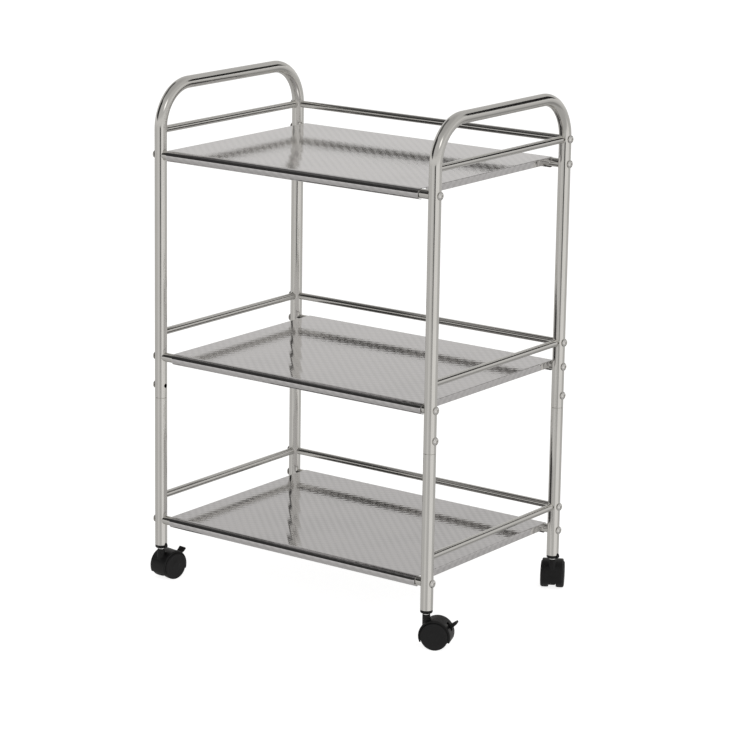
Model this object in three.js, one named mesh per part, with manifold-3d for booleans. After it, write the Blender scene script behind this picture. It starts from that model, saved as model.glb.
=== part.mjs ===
// Three-tier rolling utility cart in stainless tube and sheet, on four twin-wheel casters.
// Millimetres, +Z up, the long side along X and the open front facing -Y.
// The origin lies on the floor, in the middle of the cart's whole footprint.
import * as THREE from 'three';
import { mergeVertices } from 'three/addons/utils/BufferGeometryUtils.js';
import Module from 'manifold-3d';

const wasm = await Module();
wasm.setup();

// Layout of the frame
const LEG_SPAN_X = 590; // between the leg centre lines, left to right
const LEG_SPAN_Y = 396; // between the leg centre lines, front to back
const FRAME_CENTRE_Y = -13; // the parked casters reach further back than forward
const LEG_FOOT = 66; // height of the open lower end of each leg
const FRAME_TOP = 905; // centre line of the push handles
const HANDLE_BEND_R = 76; // centre-line radius of the handle corners
const TIERS = [
  { name: 'bottom', height: 114, trayOffset: 3.5 },
  { name: 'middle', height: 418, trayOffset: 9 },
  { name: 'top', height: 784, trayOffset: -4.5 },
]; // height of the shelf tubes' centre line, and how far each tray lies along its tubes

// Tubes
const LEG_R = 11;
const SHELF_TUBE_R = 8;
const RAIL_R = 6.35;
const WALL = 1;
const RAIL_RISE = 44; // guard rail centre line above the shelf tube's
const GAP = 0.3; // running and seating clearance between neighbours
const SEAT = GAP + 0.05; // clearance at a coped end, a little over the gap for the facets
const LEG_SIDES = 12;
const CROSS_SIDES = 12; // shelf tubes and guard rails
const BEND_STEPS = 6;

// Leg joint: the swaged top of the lower leg slides up into the upper frame
const JOINT_SCREW_DROP = 53; // below the middle shelf tubes
const SEAM_DROP = 75; // below the middle shelf tubes
const SPIGOT_LENGTH = 55;
const SPIGOT_R = LEG_R - WALL - 0.5;
const SWAGE_LENGTH = 4;
const seam = TIERS[1].height - SEAM_DROP;
const jointHeight = TIERS[1].height - JOINT_SCREW_DROP;

// Screws
const SHANK_R = 3;
const HOLE_R = 3.7;
const HOLE_SIDES = 6;
const HEAD_R = 7.2;
const HEAD_HEIGHT = 4.5;
const HEAD_EDGE = 1; // upright edge of the head, below its dome
const SCREW_SIDES = 10;
const SHELF_SHANK_LENGTH = 36;
const JOINT_SHANK_LENGTH = 15;
const PLUG_LENGTH = 20; // threaded plug inside each end of a shelf tube or rear rail

// Trays
const SHEET = 0.8;
const TRAY_LENGTH = 548;
const ROLL_LENGTH = 543; // the rolled long edges stop short of the tray's ends
const ROLL_INNER_R = 8.9;
const ROLL_DROP = 0.6; // roll centre below the tube's
const ROLL_STEPS = 8;
const ROLL_END_ANGLE = -100; // where the roll stops under the tube, in degrees
const FLANGE_DROP = 12;
const FLANGE_HALF_WIDTH = 187;

// Casters, in a local frame with the stem axis on Z, the floor at 0 and the trail along +X
const WHEEL_R = 24.6;
const TRAIL = 18;
const WHEEL_INNER = 7; // inner face, from the caster's middle plane
const WHEEL_OUTER = 21.2;
const WHEEL_CHAMFER = 1.5;
const WHEEL_SIDES = 20;
const AXLE_R = 3;
const AXLE_HALF_LENGTH = 16;
const AXLE_PLAY = 0.35;
const PIN_SIDES = 10; // axles, stems and sockets
const HOOD_R = 27.8;
const HOOD_THICKNESS = 2.7;
const HOOD_HALF_WIDTH = 19;
const HOOD_ARC = { from: -20, to: 205, taper: 11 }; // degrees; the inner skin stops short by taper
const HOOD_STEPS = 10;
const WEB_ARC = { from: -28, to: 213 };
const WEB_HALF_THICKNESS = 6.4;
const NECK_R = 6.9;
const NECK_FOOT = 18;
const NECK_TOP = 57.8;
const STEM_R = 4;
const STEM_BOTTOM = 35;
const STEM_TOP = 96;
const STEM_RING_R = 5.9;
const SOCKET_RIM_R = 10.7;
const SOCKET_RIM_HEIGHT = 5.2;
const SOCKET_DEPTH = 34;
const KEY = { reach: 1.5, width: 7, height: 5 };
const LEVER = { pivotR: 19, pivotAngle: 42, halfWidth: 4.5, trunnionR: 1.4, thickness: 3.4 };
const CASTERS = [
  { corner: 'front_left', sx: -1, sy: -1, heading: 83, keyAngle: -10, brake: true },
  { corner: 'front_right', sx: 1, sy: -1, heading: 22, keyAngle: 70, brake: true },
  { corner: 'rear_left', sx: -1, sy: 1, heading: 209, keyAngle: 180, brake: false },
  { corner: 'rear_right', sx: 1, sy: 1, heading: 119, keyAngle: 38, brake: false },
]; // heading: direction of the trail in degrees from +X, as the cart is parked

const steel = (name) =>
  new THREE.MeshStandardMaterial({ name, color: 0xb9b7b3, roughness: 0.28, metalness: 1 });
const FINISH = {
  tube: steel('polished_tube'),
  tray: new THREE.MeshStandardMaterial({ color: 0xc4c3c1, roughness: 0.42, metalness: 1 }),
  screw: new THREE.MeshStandardMaterial({ color: 0xd0cfcc, roughness: 0.2, metalness: 1 }),
  pin: new THREE.MeshStandardMaterial({ color: 0xd8d8d6, roughness: 0.25, metalness: 1 }),
  plastic: new THREE.MeshStandardMaterial({ color: 0x1d1d1e, roughness: 0.55, metalness: 0 }),
  tread: new THREE.MeshStandardMaterial({ color: 0x222223, roughness: 0.7, metalness: 0 }),
};

// ---------------------------------------------------------------- helpers

const cart = new THREE.Group();
const frame = new THREE.Group();
frame.position.y = FRAME_CENTRE_Y;
cart.add(frame);

function place(parent, name, geometry, material, x = 0, y = 0, z = 0) {
  const mesh = new THREE.Mesh(geometry, material);
  mesh.name = name;
  mesh.position.set(x, y, z);
  parent.add(mesh);
  return mesh;
}

function toSolid(geometry) {
  const bare = geometry.clone();
  bare.deleteAttribute('normal');
  bare.deleteAttribute('uv');
  const merged = mergeVertices(bare, 1e-4);
  return new wasm.Manifold(
    new wasm.Mesh({
      numProp: 3,
      vertProperties: new Float32Array(merged.attributes.position.array),
      triVerts: new Uint32Array(merged.index.array),
    }),
  );
}

function toGeometry(solid) {
  const mesh = solid.getMesh();
  const geometry = new THREE.BufferGeometry();
  geometry.setAttribute('position', new THREE.BufferAttribute(mesh.vertProperties, 3));
  geometry.setIndex(new THREE.BufferAttribute(mesh.triVerts, 1));
  return geometry;
}

function cut(geometry, cutters) {
  let solid = toSolid(geometry);
  for (const cutter of cutters) {
    solid = solid.subtract(toSolid(cutter));
  }
  return toGeometry(solid);
}

function join(geometries) {
  let solid = toSolid(geometries[0]);
  for (const other of geometries.slice(1)) {
    solid = solid.add(toSolid(other));
  }
  return toGeometry(solid);
}

// A body of revolution about Z from [radius, z] pairs.
function turned(profile, sides) {
  const points = profile.map(([r, z]) => new THREE.Vector2(r, z));
  return new THREE.LatheGeometry(points, sides).rotateX(Math.PI / 2);
}

function rod(radius, length, sides) {
  return new THREE.CylinderGeometry(radius, radius, length, sides).rotateX(Math.PI / 2);
}

function alongX(geometry) {
  return geometry.rotateY(Math.PI / 2);
}

function alongY(geometry) {
  return geometry.rotateX(-Math.PI / 2);
}

// An XZ outline given as [x, z] pairs, made thick along Y about the middle plane.
function plate(outline, halfWidth) {
  const shape = new THREE.Shape(outline.map(([x, z]) => new THREE.Vector2(x, z)));
  const geometry = new THREE.ExtrudeGeometry(shape, { depth: 2 * halfWidth, bevelEnabled: false });
  return geometry.translate(0, 0, -halfWidth).rotateX(Math.PI / 2);
}

// Points on an arc about [cx, cz], as [x, z] pairs; angles in degrees.
function arc(cx, cz, radius, from, to, steps) {
  const points = [];
  for (let i = 0; i <= steps; i += 1) {
    const a = THREE.MathUtils.degToRad(from + ((to - from) * i) / steps);
    points.push([cx + radius * Math.cos(a), cz + radius * Math.sin(a)]);
  }
  return points;
}

// ---------------------------------------------------------------- tubes

// The inverted U of one end frame, as one step for each straight run and several for each bend.
class HandleRoute extends THREE.Curve {
  constructor(halfSpan, bottom, top, bendR, bendSteps) {
    super();
    this.turnY = halfSpan - bendR;
    this.turnZ = top - bendR;
    this.halfSpan = halfSpan;
    this.bottom = bottom;
    this.top = top;
    this.bendR = bendR;
    this.bendSteps = bendSteps;
    this.steps = 2 * bendSteps + 3;
  }

  getUtoTmapping(u) {
    return u;
  }

  getPoint(t, target = new THREE.Vector3()) {
    const s = t * this.steps;
    const half = this.steps / 2;
    const side = s < half ? -1 : 1;
    const k = s < half ? s : this.steps - s; // steps from the nearer foot
    if (k <= 1) {
      return target.set(0, side * this.halfSpan, this.bottom + k * (this.turnZ - this.bottom));
    }
    if (k <= 1 + this.bendSteps) {
      const a = ((k - 1) / this.bendSteps) * (Math.PI / 2);
      const y = this.turnY + this.bendR * Math.cos(a);
      return target.set(0, side * y, this.turnZ + this.bendR * Math.sin(a));
    }
    const flat = (k - 1 - this.bendSteps) * 2; // 0 at the bend, 1 in the middle of the handle
    return target.set(0, side * this.turnY * (1 - flat), this.top);
  }
}

function ringSection(outer, inner) {
  const shape = new THREE.Shape();
  shape.absarc(0, 0, outer, 0, 2 * Math.PI, false);
  const bore = new THREE.Path();
  bore.absarc(0, 0, inner, 0, 2 * Math.PI, true);
  shape.holes.push(bore);
  return shape;
}

// A straight tube along Z; a plugged tube has a thick threaded end at each side.
function straightTube(length, radius, plugged) {
  const h = length / 2;
  const inner = radius - WALL;
  if (!plugged) {
    return turned([[inner, -h], [radius, -h], [radius, h], [inner, h], [inner, -h]], CROSS_SIDES);
  }
  const p = h - PLUG_LENGTH;
  return turned(
    [
      [HOLE_R, -h], [radius, -h], [radius, h], [HOLE_R, h],
      [HOLE_R, p], [inner, p], [inner, -p], [HOLE_R, -p], [HOLE_R, -h],
    ],
    CROSS_SIDES,
  );
}

// Room for a leg, with its seat all round.
function legEnvelope() {
  return rod(LEG_R + SEAT, 6 * LEG_R, LEG_SIDES);
}

function handleRoute() {
  return new HandleRoute(LEG_SPAN_Y / 2, seam, FRAME_TOP, HANDLE_BEND_R, BEND_STEPS);
}

function sweptHandle(section) {
  const route = handleRoute();
  return new THREE.ExtrudeGeometry(section, {
    steps: route.steps,
    curveSegments: LEG_SIDES / 2,
    bevelEnabled: false,
    extrudePath: route,
  });
}

// A tube along X between two legs, its ends coped to sit on them.
function crossTube(radius) {
  const tube = alongX(straightTube(LEG_SPAN_X, radius, true));
  return cut(tube, [-1, 1].map((side) => legEnvelope().translate((side * LEG_SPAN_X) / 2, 0, 0)));
}

// A side guard rail along Y; the top one meets the legs where the handle starts to bend.
function sideRail(height) {
  const rail = alongY(straightTube(LEG_SPAN_Y, RAIL_R, false));
  if (height > seam) {
    const disc = new THREE.Shape();
    disc.absarc(0, 0, LEG_R + SEAT, 0, 2 * Math.PI, false);
    return cut(rail, [sweptHandle(disc).translate(0, 0, -height)]);
  }
  return cut(rail, [-1, 1].map((side) => legEnvelope().translate(0, (side * LEG_SPAN_Y) / 2, 0)));
}

function screwHole(y, z) {
  return alongX(rod(HOLE_R, 4 * LEG_R, HOLE_SIDES)).translate(0, y, z);
}

// Heights of the screws through a leg, front or rear, within one stretch of that leg.
function screwHeights(isRear, low, high) {
  const heights = [jointHeight];
  for (const tier of TIERS) {
    heights.push(tier.height);
    if (isRear) {
      heights.push(tier.height + RAIL_RISE);
    }
  }
  return heights.filter((z) => z > low && z < high);
}

function upperFrame() {
  const holes = [-1, 1].flatMap((side) =>
    screwHeights(side > 0, seam, FRAME_TOP).map((z) => screwHole((side * LEG_SPAN_Y) / 2, z)),
  );
  return cut(sweptHandle(ringSection(LEG_R, LEG_R - WALL)), holes);
}

function lowerLeg(isRear) {
  const top = seam - GAP;
  const spigotTop = seam + SPIGOT_LENGTH;
  const tube = turned(
    [
      [LEG_R - WALL, LEG_FOOT],
      [LEG_R, LEG_FOOT],
      [LEG_R, top],
      [SPIGOT_R, top],
      [SPIGOT_R, spigotTop],
      [SPIGOT_R - WALL, spigotTop],
      [SPIGOT_R - WALL, top - SWAGE_LENGTH],
      [LEG_R - WALL, top - SWAGE_LENGTH - 1],
      [LEG_R - WALL, LEG_FOOT],
    ],
    LEG_SIDES,
  );
  return cut(tube, screwHeights(isRear, LEG_FOOT, spigotTop).map((z) => screwHole(0, z)));
}

// ---------------------------------------------------------------- screws

// A domed screw along X, its head on the +X side and the underside of the head at 0.
function domedScrew(shankLength) {
  const rise = HEAD_HEIGHT - HEAD_EDGE;
  const dome = arc(0, 0, 1, 0, 60, 2).map(([r, z]) => [HEAD_R * r, HEAD_EDGE + rise * z]);
  return alongX(
    turned(
      [
        [0, -shankLength], [SHANK_R, -shankLength], [SHANK_R, 0], [HEAD_R, 0],
        ...dome, [0, HEAD_HEIGHT],
      ],
      SCREW_SIDES,
    ),
  );
}

// ---------------------------------------------------------------- trays

function tray() {
  const half = LEG_SPAN_Y / 2;
  const outerR = ROLL_INNER_R + SHEET;
  const outer = arc(half, -ROLL_DROP, outerR, 90, ROLL_END_ANGLE, ROLL_STEPS);
  const inner = arc(half, -ROLL_DROP, ROLL_INNER_R, ROLL_END_ANGLE, 90, ROLL_STEPS);
  const rear = [...outer, ...inner];
  const front = rear.map(([y, z]) => [-y, z]).reverse();
  // an outline in the YZ plane, turned so that it is extruded along X
  const section = new THREE.Shape([...rear, ...front].map(([y, z]) => new THREE.Vector2(y, z)));
  const rolled = new THREE.ExtrudeGeometry(section, { depth: ROLL_LENGTH, bevelEnabled: false })
    .translate(0, 0, -ROLL_LENGTH / 2)
    .rotateX(Math.PI / 2)
    .rotateZ(Math.PI / 2);
  const topFace = outerR - ROLL_DROP;
  const sheet = new THREE.BoxGeometry(TRAY_LENGTH, LEG_SPAN_Y - 2, SHEET);
  sheet.translate(0, 0, topFace - SHEET / 2);
  const flanges = [-1, 1].map((side) => {
    const flange = new THREE.BoxGeometry(SHEET, 2 * FLANGE_HALF_WIDTH, FLANGE_DROP);
    return flange.translate(side * (TRAY_LENGTH - SHEET) / 2, 0, topFace - FLANGE_DROP / 2);
  });
  return join([rolled, sheet, ...flanges]);
}

// ---------------------------------------------------------------- casters

function socket(keyAngle) {
  const bore = STEM_R + 0.45;
  const bodyR = LEG_R - WALL - 0.4;
  const low = LEG_FOOT - GAP - SOCKET_RIM_HEIGHT;
  const rimTop = LEG_FOOT - GAP;
  const insert = turned(
    [
      [bore, low], [SOCKET_RIM_R - 1, low], [SOCKET_RIM_R, low + 1], [SOCKET_RIM_R, rimTop],
      [bodyR, rimTop], [bodyR, rimTop + SOCKET_DEPTH], [bore, rimTop + SOCKET_DEPTH], [bore, low],
    ],
    PIN_SIDES,
  );
  const keyInner = LEG_R + GAP;
  const keyOuter = keyInner + KEY.reach;
  const key = plate(
    [
      [SOCKET_RIM_R - 2, low + 0.6], [keyOuter - 0.5, low + 0.6], [keyOuter, low + 1.6],
      [keyOuter, rimTop + KEY.height - 2], [keyInner + 0.4, rimTop + KEY.height],
      [keyInner, rimTop + KEY.height], [keyInner, rimTop - 0.1], [SOCKET_RIM_R - 2, rimTop - 0.1],
    ],
    KEY.width / 2,
  ).rotateZ(THREE.MathUtils.degToRad(keyAngle));
  return join([insert, key]);
}

function stem() {
  const ringLow = NECK_TOP + GAP;
  const ringHigh = LEG_FOOT - GAP - SOCKET_RIM_HEIGHT - GAP;
  return turned(
    [
      [0, STEM_BOTTOM], [STEM_R, STEM_BOTTOM], [STEM_R, ringLow], [STEM_RING_R, ringLow],
      [STEM_RING_R, ringHigh], [STEM_R, ringHigh], [STEM_R, STEM_TOP], [0, STEM_TOP],
    ],
    PIN_SIDES,
  );
}

function leverPivot() {
  const a = THREE.MathUtils.degToRad(LEVER.pivotAngle);
  return [TRAIL + LEVER.pivotR * Math.cos(a), WHEEL_R + LEVER.pivotR * Math.sin(a)];
}

function housing(hasBrake) {
  const { from, to, taper } = HOOD_ARC;
  const hood = plate(
    [
      ...arc(TRAIL, WHEEL_R, HOOD_R, from, to, HOOD_STEPS),
      ...arc(TRAIL, WHEEL_R, HOOD_R - HOOD_THICKNESS, to - taper, from + taper, HOOD_STEPS),
    ],
    HOOD_HALF_WIDTH,
  );
  const web = plate(
    arc(TRAIL, WHEEL_R, HOOD_R - 1, WEB_ARC.from, WEB_ARC.to, HOOD_STEPS),
    WEB_HALF_THICKNESS,
  );
  const neck = rod(NECK_R, NECK_TOP - NECK_FOOT, LEG_SIDES);
  neck.translate(0, 0, (NECK_TOP + NECK_FOOT) / 2);
  const stemRoom = rod(STEM_R + 0.5, 2 * (NECK_TOP - STEM_BOTTOM + 1), PIN_SIDES);
  const axleRoom = alongY(rod(AXLE_R + AXLE_PLAY, 2 * HOOD_HALF_WIDTH, PIN_SIDES));
  const cutters = [stemRoom.translate(0, 0, NECK_TOP), axleRoom.translate(TRAIL, 0, WHEEL_R)];
  if (hasBrake) {
    const [px, pz] = leverPivot();
    const pocket = [
      [px - 5, pz - 5], [px + 3, pz - 6], [px + 22, pz - 4],
      [px + 24, pz + 22], [px + 2, pz + 8], [px - 5, pz + 4],
    ];
    const trunnionRoom = rod(LEVER.trunnionR + 0.4, 2 * WEB_HALF_THICKNESS - 0.8, HOLE_SIDES);
    cutters.push(plate(pocket, LEVER.halfWidth + 0.4));
    cutters.push(alongY(trunnionRoom).translate(px, 0, pz));
  }
  return cut(join([hood, web, neck]), cutters);
}

// The brake's pedal, pivoting in the pocket behind the hood; its nose turns down on to the wheels' hub.
function brakeLever() {
  const [px, pz] = leverPivot();
  const half = LEVER.thickness / 2;
  const tab = plate(
    [
      [px - 3.2, pz - 2.2], [px + 2, pz - 3], [px + 9, pz + 1.5 - half], [px + 19, pz + 7.6 - half],
      [px + 22, pz + 10.4], [px + 20.4, pz + 12], [px + 8, pz + 3 + half], [px - 2, pz + 3],
    ],
    LEVER.halfWidth,
  );
  const trunnion = alongY(rod(LEVER.trunnionR, 2 * (LEVER.halfWidth + 1.2), HOLE_SIDES));
  return join([tab, trunnion.translate(px, 0, pz)]);
}

function axle() {
  return alongY(rod(AXLE_R, 2 * AXLE_HALF_LENGTH, PIN_SIDES)).translate(TRAIL, 0, WHEEL_R);
}

// One wheel disc, bored from the inside, on the side of the caster given by the sign.
function wheel(side) {
  const bore = AXLE_R + AXLE_PLAY;
  const boreEnd = AXLE_HALF_LENGTH + 0.6;
  const disc = turned(
    [
      [bore, WHEEL_INNER], [WHEEL_R, WHEEL_INNER], [WHEEL_R, WHEEL_OUTER - WHEEL_CHAMFER],
      [WHEEL_R - WHEEL_CHAMFER, WHEEL_OUTER], [0, WHEEL_OUTER], [0, boreEnd], [bore, boreEnd],
      [bore, WHEEL_INNER],
    ],
    WHEEL_SIDES,
  );
  // turned about Z, then laid on its side with one corner of the tread lowest, on the floor
  disc.rotateX(side > 0 ? -Math.PI / 2 : Math.PI / 2);
  return disc.translate(TRAIL, 0, WHEEL_R);
}

// ---------------------------------------------------------------- assembly

for (const [side, name] of [[-1, 'left'], [1, 'right']]) {
  const x = (side * LEG_SPAN_X) / 2;
  place(frame, `${name}_upper_frame`, upperFrame(), FINISH.tube, x);
}

for (const tier of TIERS) {
  const railZ = tier.height + RAIL_RISE;
  for (const [side, name] of [[-1, 'left'], [1, 'right']]) {
    const x = (side * LEG_SPAN_X) / 2;
    place(frame, `${tier.name}_${name}_side_rail`, sideRail(railZ), FINISH.tube, x, 0, railZ);
  }
  const rearRail = crossTube(RAIL_R);
  place(frame, `${tier.name}_rear_rail`, rearRail, FINISH.tube, 0, LEG_SPAN_Y / 2, railZ);
  for (const [side, name] of [[-1, 'front'], [1, 'rear']]) {
    const y = (side * LEG_SPAN_Y) / 2;
    const tube = crossTube(SHELF_TUBE_R);
    place(frame, `${tier.name}_${name}_shelf_tube`, tube, FINISH.tube, 0, y, tier.height);
  }
  place(frame, `${tier.name}_tray`, tray(), FINISH.tray, tier.trayOffset, 0, tier.height);
}

for (const { corner, sx, sy, heading, keyAngle, brake } of CASTERS) {
  const x = (sx * LEG_SPAN_X) / 2;
  const y = (sy * LEG_SPAN_Y) / 2;
  place(frame, `${corner}_lower_leg`, lowerLeg(sy > 0), FINISH.tube, x, y);
  place(frame, `${corner}_caster_socket`, socket(keyAngle), FINISH.plastic, x, y);
  place(frame, `${corner}_caster_stem`, stem(), FINISH.pin, x, y);

  const swivel = new THREE.Group();
  swivel.position.set(x, y, 0);
  swivel.rotation.z = THREE.MathUtils.degToRad(heading);
  frame.add(swivel);
  place(swivel, `${corner}_caster_housing`, housing(brake), FINISH.plastic);
  place(swivel, `${corner}_axle`, axle(), FINISH.pin);
  place(swivel, `${corner}_left_wheel`, wheel(1), FINISH.tread);
  place(swivel, `${corner}_right_wheel`, wheel(-1), FINISH.tread);
  if (brake) {
    place(swivel, `${corner}_brake_lever`, brakeLever(), FINISH.plastic);
  }

  const headX = x + sx * (LEG_R + GAP);
  const jointScrew = domedScrew(JOINT_SHANK_LENGTH);
  place(frame, `${corner}_joint_screw`, jointScrew, FINISH.screw, headX, y, jointHeight)
    .rotation.z = sx > 0 ? 0 : Math.PI;
  if (sy < 0) {
    for (const tier of TIERS) {
      const screw = domedScrew(SHELF_SHANK_LENGTH);
      place(frame, `${tier.name}_${corner}_shelf_screw`, screw, FINISH.screw, headX, y, tier.height)
        .rotation.z = sx > 0 ? 0 : Math.PI;
    }
  }
}

export default cart;
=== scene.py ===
"""Rolling utility cart in polished stainless tube and embossed sheet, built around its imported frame.

Every place comes from the frame's own nodes; the sizes kept here are those that a box can't tell,
such as bend radii, wall thicknesses and the relief of the embossed sheet. Lengths are in metres.
"""

import logging
import math
from collections.abc import Iterable, Sequence
from dataclasses import dataclass
from enum import Enum

import bmesh
import bpy
from mathutils import Matrix, Vector


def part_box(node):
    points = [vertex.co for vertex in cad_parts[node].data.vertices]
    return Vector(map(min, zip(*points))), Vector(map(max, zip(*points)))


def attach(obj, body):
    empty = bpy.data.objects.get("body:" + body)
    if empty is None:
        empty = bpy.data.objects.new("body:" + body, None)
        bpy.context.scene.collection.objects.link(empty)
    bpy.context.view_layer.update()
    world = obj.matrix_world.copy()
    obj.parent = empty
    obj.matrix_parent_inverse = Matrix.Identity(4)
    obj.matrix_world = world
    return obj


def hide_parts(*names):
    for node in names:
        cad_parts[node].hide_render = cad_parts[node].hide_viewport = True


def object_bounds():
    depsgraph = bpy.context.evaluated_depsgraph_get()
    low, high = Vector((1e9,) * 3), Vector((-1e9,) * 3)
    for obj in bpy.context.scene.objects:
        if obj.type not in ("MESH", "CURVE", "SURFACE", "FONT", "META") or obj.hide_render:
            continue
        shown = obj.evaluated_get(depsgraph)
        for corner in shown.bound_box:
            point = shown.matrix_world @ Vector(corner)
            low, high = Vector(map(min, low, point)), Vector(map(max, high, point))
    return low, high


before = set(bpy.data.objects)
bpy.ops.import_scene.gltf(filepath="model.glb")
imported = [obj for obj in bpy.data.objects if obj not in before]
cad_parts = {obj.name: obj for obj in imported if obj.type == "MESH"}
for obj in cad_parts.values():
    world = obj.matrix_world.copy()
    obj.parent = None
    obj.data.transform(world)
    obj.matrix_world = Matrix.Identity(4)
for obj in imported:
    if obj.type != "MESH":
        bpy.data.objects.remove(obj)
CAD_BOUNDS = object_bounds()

LOG = logging.getLogger("cart")
MM = 0.001
TINY = 1e-7  # closer than this counts as touching
ROOT_BODY = "cart_frame"
# Vertex attribute: the mask of the painted shade that the tray finish lays along the lattice creases.
CREASE_SHADE_MASK = "lattice_crease_shade_mask"  # the vertex attribute that the tray finish reads
SHARP_ANGLE = math.radians(35)

TIERS = ("top", "middle", "bottom")
CORNERS = ("front_left", "front_right", "rear_left", "rear_right")

Outline = list[tuple[float, float]]


class Slot(Enum):
    """The material slots."""

    TUBE = "polished_tube"
    TRAY = "tray_sheet"
    SCREW = "screw_steel"
    PIN = "zinc_pin"
    HOUSING = "caster_plastic"
    WHEEL = "wheel_plastic"


class Axis(Enum):
    """The direction that a straight tube runs in."""

    X = 0
    Y = 1


class Cut(Enum):
    """How two solids are combined."""

    JOIN = "UNION"
    SUBTRACT = "DIFFERENCE"


# ------------------------------------------------------------------ node graphs


class NodeGraph:
    """Short calls for building a node tree."""

    def __init__(self, tree: bpy.types.NodeTree) -> None:
        """Empty the tree and keep it.

        Args:
            tree: The node tree of a material or a world.
        """
        self.tree = tree
        tree.nodes.clear()

    def add(self, kind: str, sockets: dict | None = None, **settings: object) -> bpy.types.Node:
        """Add one node.

        Args:
            kind: The node's type name, without its ShaderNode prefix.
            sockets: Input sockets by name or index, each a value or another node's output.
            **settings: The node's own properties.

        Returns:
            The new node.
        """
        node = self.tree.nodes.new("ShaderNode" + kind)
        for key, value in settings.items():
            setattr(node, key, value)
        for key, value in (sockets or {}).items():
            if isinstance(value, bpy.types.NodeSocket):
                self.tree.links.new(value, node.inputs[key])
            else:
                node.inputs[key].default_value = value
        return node

    def math(self, operation: str, a: object, b: object = 0.0, c: object = 0.0) -> bpy.types.NodeSocket:
        """Work out one arithmetic step on up to three values or sockets."""
        return self.add("Math", {0: a, 1: b, 2: c}, operation=operation).outputs[0]

    def spread(self, value: bpy.types.NodeSocket, low: float, high: float) -> bpy.types.NodeSocket:
        """Stretch a 0 to 1 value over the range from low to high."""
        return self.add("MapRange", {0: value, 3: low, 4: high}).outputs[0]

    def noise(self, vector: object, scale: float, detail: float = 3.0) -> bpy.types.NodeSocket:
        """Add a 0 to 1 noise, with scale patterns per metre and detail finer octaves."""
        return self.add("TexNoise", {"Vector": vector, "Scale": scale, "Detail": detail}).outputs["Fac"]

    def stretched(self, vector: object, scale: tuple[float, float, float]) -> bpy.types.NodeSocket:
        """Scale a set of coordinates along each axis."""
        return self.add("Mapping", {"Vector": vector, "Scale": scale}).outputs["Vector"]

    def blend(self, amount: object, a: object, b: object) -> bpy.types.NodeSocket:
        """Mix two colours, from a at 0 to b at 1."""
        return self.add("Mix", {0: amount, 6: a, 7: b}, data_type="RGBA").outputs[2]

    def tinted(self, a: object, b: object) -> bpy.types.NodeSocket:
        """Multiply two colours."""
        node = self.add("Mix", {0: 1.0, 6: a, 7: b}, data_type="RGBA", blend_type="MULTIPLY")
        return node.outputs[2]

    def surface(self, sockets: dict, height: bpy.types.NodeSocket, bump: tuple[float, float]) -> None:
        """End a material in a bumped surface.

        Args:
            sockets: The shader's inputs, by name.
            height: The bump pattern's socket.
            bump: The bump's strength, and its depth in metres.
        """
        normal = self.add("Bump", {"Strength": bump[0], "Distance": bump[1], "Height": height})
        shader = self.add("BsdfPrincipled", {**sockets, "Normal": normal.outputs[0]})
        self.add("OutputMaterial", {"Surface": shader.outputs[0]})


def rgba(colour: tuple[float, float, float]) -> tuple[float, float, float, float]:
    """Give a colour its alpha."""
    return (*colour, 1.0)


def new_material(name: str) -> tuple[bpy.types.Material, NodeGraph]:
    """Start a node material.

    Args:
        name: The material's name.

    Returns:
        The material and its empty node graph.
    """
    material = bpy.data.materials.new(name)
    material.use_nodes = True
    return material, NodeGraph(material.node_tree)


# ------------------------------------------------------------------ finishes


@dataclass(frozen=True)
class PolishedTube:
    """Bright drawn and belt-polished stainless tube, with faint lines along its length."""

    name: str = "polished_stainless_tube"
    colour: tuple[float, float, float] = (0.79, 0.78, 0.755)
    colour_worn: tuple[float, float, float] = (0.74, 0.73, 0.70)
    roughness: tuple[float, float] = (0.08, 0.14)
    lines_per_metre: float = 900.0
    smudges_per_metre: float = 14.0
    line_bump: tuple[float, float] = (0.04, 0.01 * MM)

    def build(self) -> bpy.types.Material:
        """Build the material; its map runs around the tube in U and along it in V.

        Returns:
            The material.
        """
        material, graph = new_material(self.name)
        run = graph.add("UVMap").outputs["UV"]
        place = graph.add("TexCoord").outputs["Object"]
        lines = graph.noise(graph.stretched(run, (1.0, 0.02, 1.0)), self.lines_per_metre)
        smudges = graph.noise(place, self.smudges_per_metre, 5.0)
        wear = graph.math("MULTIPLY", lines, smudges)
        colour = graph.blend(graph.spread(smudges, -0.3, 1.2), rgba(self.colour), rgba(self.colour_worn))
        rough = graph.spread(graph.math("MULTIPLY", wear, 2.6), *self.roughness)
        graph.surface({"Base Color": colour, "Metallic": 1.0, "Roughness": rough}, lines, self.line_bump)
        return material


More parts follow.
